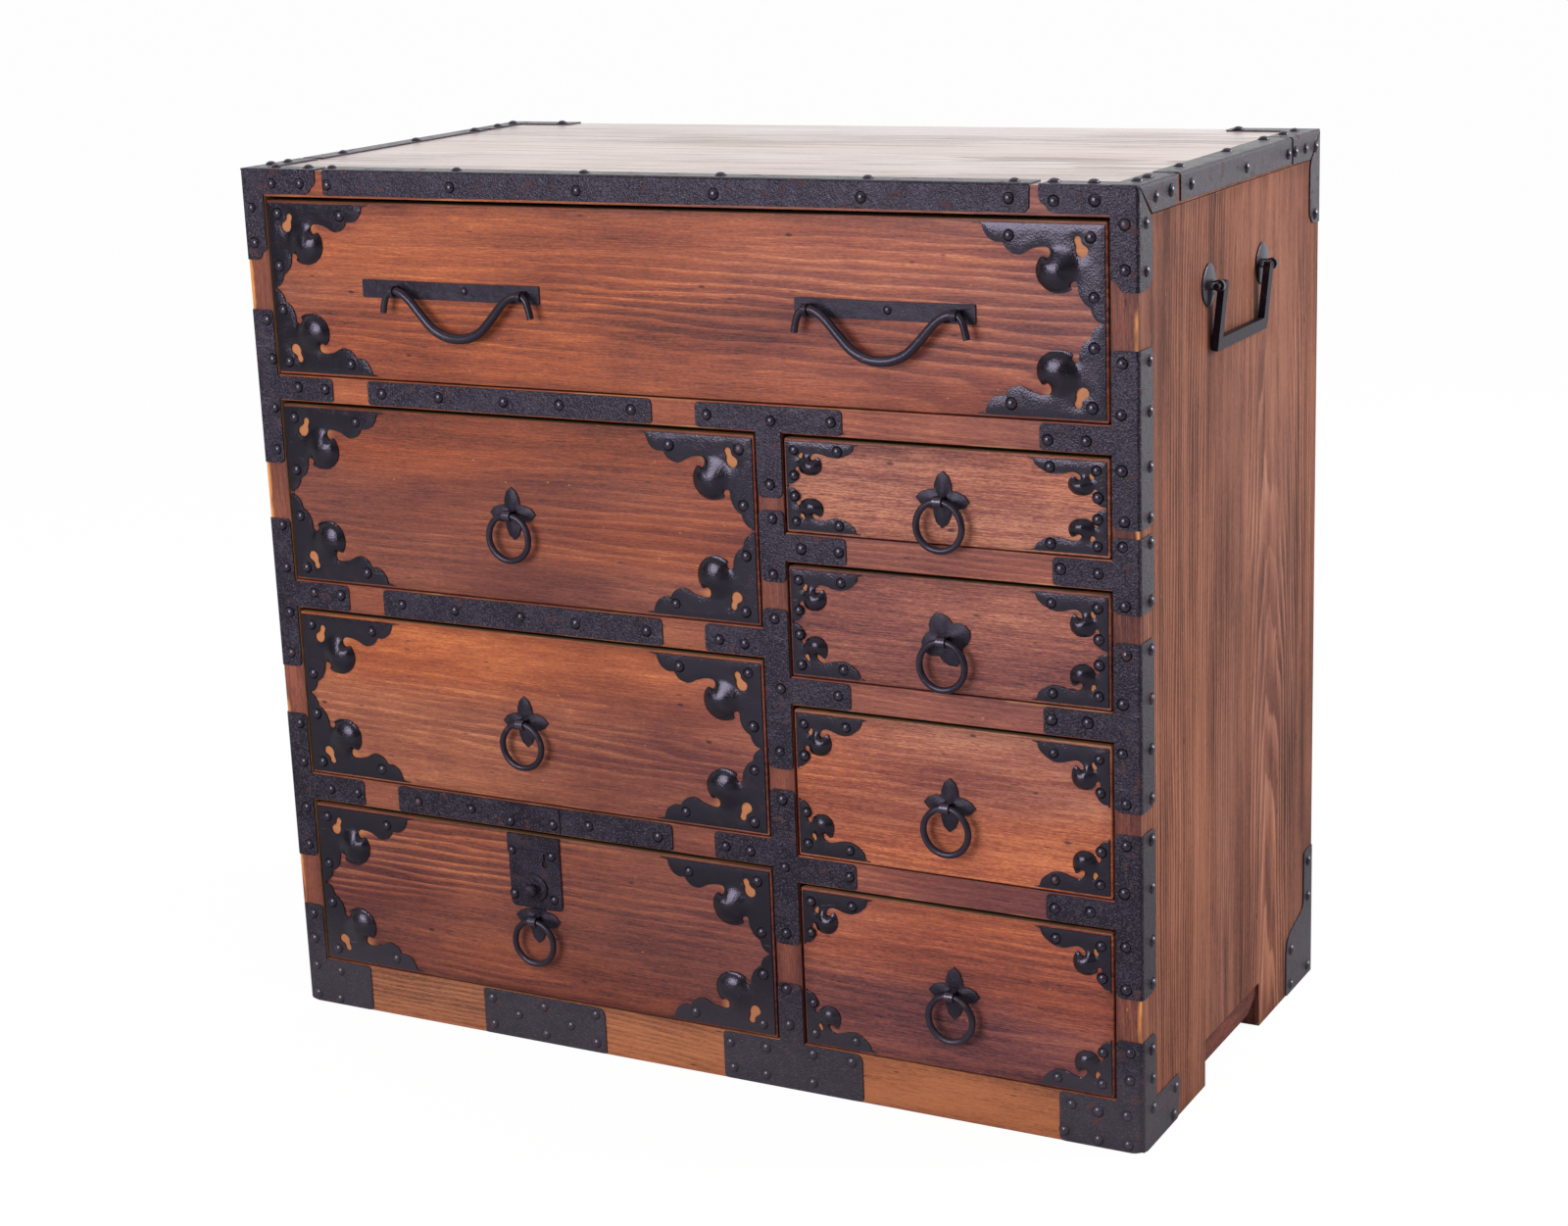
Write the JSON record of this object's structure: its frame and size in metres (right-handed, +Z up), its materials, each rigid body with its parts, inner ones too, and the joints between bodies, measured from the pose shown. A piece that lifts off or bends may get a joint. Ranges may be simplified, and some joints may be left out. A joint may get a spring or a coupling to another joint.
{
  "type": "chest of drawers",
  "caption": "Low wooden chest bound with black iron: wide and narrow drawers pull out on rings and bails, one has a lock, and a lifting handle hangs on each side.",
  "frame": {"origin": "middle of the chest's footprint on the floor, with handles and irons counted", "axes": "+X along the width to the right as seen from the front, +Y to the back, +Z up; drawers come out along -Y"},
  "size_m": [0.9338, 0.4846, 0.8415],
  "materials": {
    "drawer_wood": "red-brown oiled softwood, grain along the width, satin",
    "case_wood": "grey-brown oiled softwood, satin, worn edges",
    "base_wood": "golden-brown oiled softwood, satin",
    "inner_wood": "pale planed softwood, unfinished",
    "iron": "blackened hammered iron, satin"
  },
  "bodies": {
    "root": {"back_panel": "inner_wood", "base_back_rail": "inner_wood", "base_front_rail": "base_wood", "base_left_cleat": "inner_wood", "base_right_cleat": "inner_wood", "bottom_board": "inner_wood", "centre_partition": "case_wood", "full_shelf": "case_wood", "left_shelf_lower": "case_wood", "left_shelf_upper": "case_wood", "left_side_board": "case_wood", "left_side_handle_rosette_back": "iron", "left_side_handle_rosette_front": "iron", "lock_keeper": "iron", "right_shelf_lower": "case_wood", "right_shelf_middle": "case_wood", "right_shelf_upper": "case_wood", "right_side_board": "case_wood", "right_side_handle_rosette_back": "iron", "right_side_handle_rosette_front": "iron", "top_board": "case_wood"},
    "top_left_bail": {"top_left_bail": "iron"},
    "top_right_bail": {"top_right_bail": "iron"},
    "top_drawer": {"top_drawer_front": "drawer_wood", "top_drawer_tray": "inner_wood", "top_left_bail_strip": "iron", "top_right_bail_strip": "iron"},
    "left_upper_ring": {"left_upper_ring": "iron"},
    "left_upper_drawer": {"left_upper_drawer_front": "drawer_wood", "left_upper_drawer_tray": "inner_wood", "left_upper_ring_plate": "iron"},
    "left_middle_ring": {"left_middle_ring": "iron"},
    "left_middle_drawer": {"left_middle_drawer_front": "drawer_wood", "left_middle_drawer_tray": "inner_wood", "left_middle_ring_plate": "iron"},
    "left_lower_ring": {"left_lower_ring": "iron"},
    "lock_knob": {"lock_knob": "iron"},
    "left_lower_drawer": {"left_lower_drawer_front": "drawer_wood", "left_lower_drawer_tray": "inner_wood", "left_lower_ring_plate": "iron", "lock_plate": "iron", "lock_case": "iron"},
    "right_upper_ring": {"right_upper_ring": "iron"},
    "right_upper_drawer": {"right_upper_drawer_front": "drawer_wood", "right_upper_drawer_tray": "inner_wood", "right_upper_ring_plate": "iron"},
    "right_second_ring": {"right_second_ring": "iron"},
    "right_second_drawer": {"right_second_drawer_front": "drawer_wood", "right_second_drawer_tray": "inner_wood", "right_second_ring_plate": "iron"},
    "right_third_ring": {"right_third_ring": "iron"},
    "right_third_drawer": {"right_third_drawer_front": "drawer_wood", "right_third_drawer_tray": "inner_wood", "right_third_ring_plate": "iron"},
    "right_lower_ring": {"right_lower_ring": "iron"},
    "right_lower_drawer": {"right_lower_drawer_front": "drawer_wood", "right_lower_drawer_tray": "inner_wood", "right_lower_ring_plate": "iron"},
    "left_side_handle": {"left_side_handle": "iron"},
    "right_side_handle": {"right_side_handle": "iron"}
  },
  "joints": [
    {"name": "top_drawer_slide", "type": "slide", "parent": "root", "child": "top_drawer", "axis": [0, -1, 0], "range_m": [0, 0.3]},
    {"name": "top_left_bail_swing", "type": "hinge", "parent": "top_drawer", "child": "top_left_bail", "pos_m": [-0.208, -0.2354, 0.7321], "axis": [-1, 0, 0], "range_deg": [0, 165]},
    {"name": "top_right_bail_swing", "type": "hinge", "parent": "top_drawer", "child": "top_right_bail", "pos_m": [0.222, -0.2354, 0.7321], "axis": [-1, 0, 0], "range_deg": [0, 165]},
    {"name": "left_upper_drawer_slide", "type": "slide", "parent": "root", "child": "left_upper_drawer", "axis": [0, -1, 0], "range_m": [0, 0.3]},
    {"name": "left_upper_ring_swing", "type": "hinge", "parent": "left_upper_drawer", "child": "left_upper_ring", "pos_m": [-0.1665, -0.2344, 0.5282], "axis": [-1, 0, 0], "range_deg": [0, 165]},
    {"name": "left_middle_drawer_slide", "type": "slide", "parent": "root", "child": "left_middle_drawer", "axis": [0, -1, 0], "range_m": [0, 0.3]},
    {"name": "left_middle_ring_swing", "type": "hinge", "parent": "left_middle_drawer", "child": "left_middle_ring", "pos_m": [-0.1665, -0.2344, 0.3268], "axis": [-1, 0, 0], "range_deg": [0, 165]},
    {"name": "left_lower_drawer_slide", "type": "slide", "parent": "root", "child": "left_lower_drawer", "axis": [0, -1, 0], "range_m": [0, 0.3]},
    {"name": "left_lower_ring_swing", "type": "hinge", "parent": "left_lower_drawer", "child": "left_lower_ring", "pos_m": [-0.1665, -0.2344, 0.1293], "axis": [-1, 0, 0], "range_deg": [0, 110]},
    {"name": "lock_knob_turn", "type": "hinge", "parent": "left_lower_drawer", "child": "lock_knob", "pos_m": [-0.1665, -0.2264, 0.1609], "axis": [0, -1, 0], "range_deg": [0, 90]},
    {"name": "right_upper_drawer_slide", "type": "slide", "parent": "root", "child": "right_upper_drawer", "axis": [0, -1, 0], "range_m": [0, 0.3]},
    {"name": "right_upper_ring_swing", "type": "hinge", "parent": "right_upper_drawer", "child": "right_upper_ring", "pos_m": [0.2725, -0.2344, 0.5727], "axis": [-1, 0, 0], "range_deg": [0, 165]},
    {"name": "right_second_drawer_slide", "type": "slide", "parent": "root", "child": "right_second_drawer", "axis": [0, -1, 0], "range_m": [0, 0.3]},
    {"name": "right_second_ring_swing", "type": "hinge", "parent": "right_second_drawer", "child": "right_second_ring", "pos_m": [0.2725, -0.2344, 0.4495], "axis": [-1, 0, 0], "range_deg": [0, 165]},
    {"name": "right_third_drawer_slide", "type": "slide", "parent": "root", "child": "right_third_drawer", "axis": [0, -1, 0], "range_m": [0, 0.3]},
    {"name": "right_third_ring_swing", "type": "hinge", "parent": "right_third_drawer", "child": "right_third_ring", "pos_m": [0.2725, -0.2344, 0.2995], "axis": [-1, 0, 0], "range_deg": [0, 165]},
    {"name": "right_lower_drawer_slide", "type": "slide", "parent": "root", "child": "right_lower_drawer", "axis": [0, -1, 0], "range_m": [0, 0.3]},
    {"name": "right_lower_ring_swing", "type": "hinge", "parent": "right_lower_drawer", "child": "right_lower_ring", "pos_m": [0.2725, -0.2344, 0.1233], "axis": [-1, 0, 0], "range_deg": [0, 165]},
    {"name": "left_side_handle_swing", "type": "hinge", "parent": "root", "child": "left_side_handle", "pos_m": [-0.4601, 0.0084, 0.738], "axis": [0, 1, 0], "range_deg": [0, 165]},
    {"name": "right_side_handle_swing", "type": "hinge", "parent": "root", "child": "right_side_handle", "pos_m": [0.4601, 0.0084, 0.738], "axis": [0, -1, 0], "range_deg": [0, 165]}
  ]
}
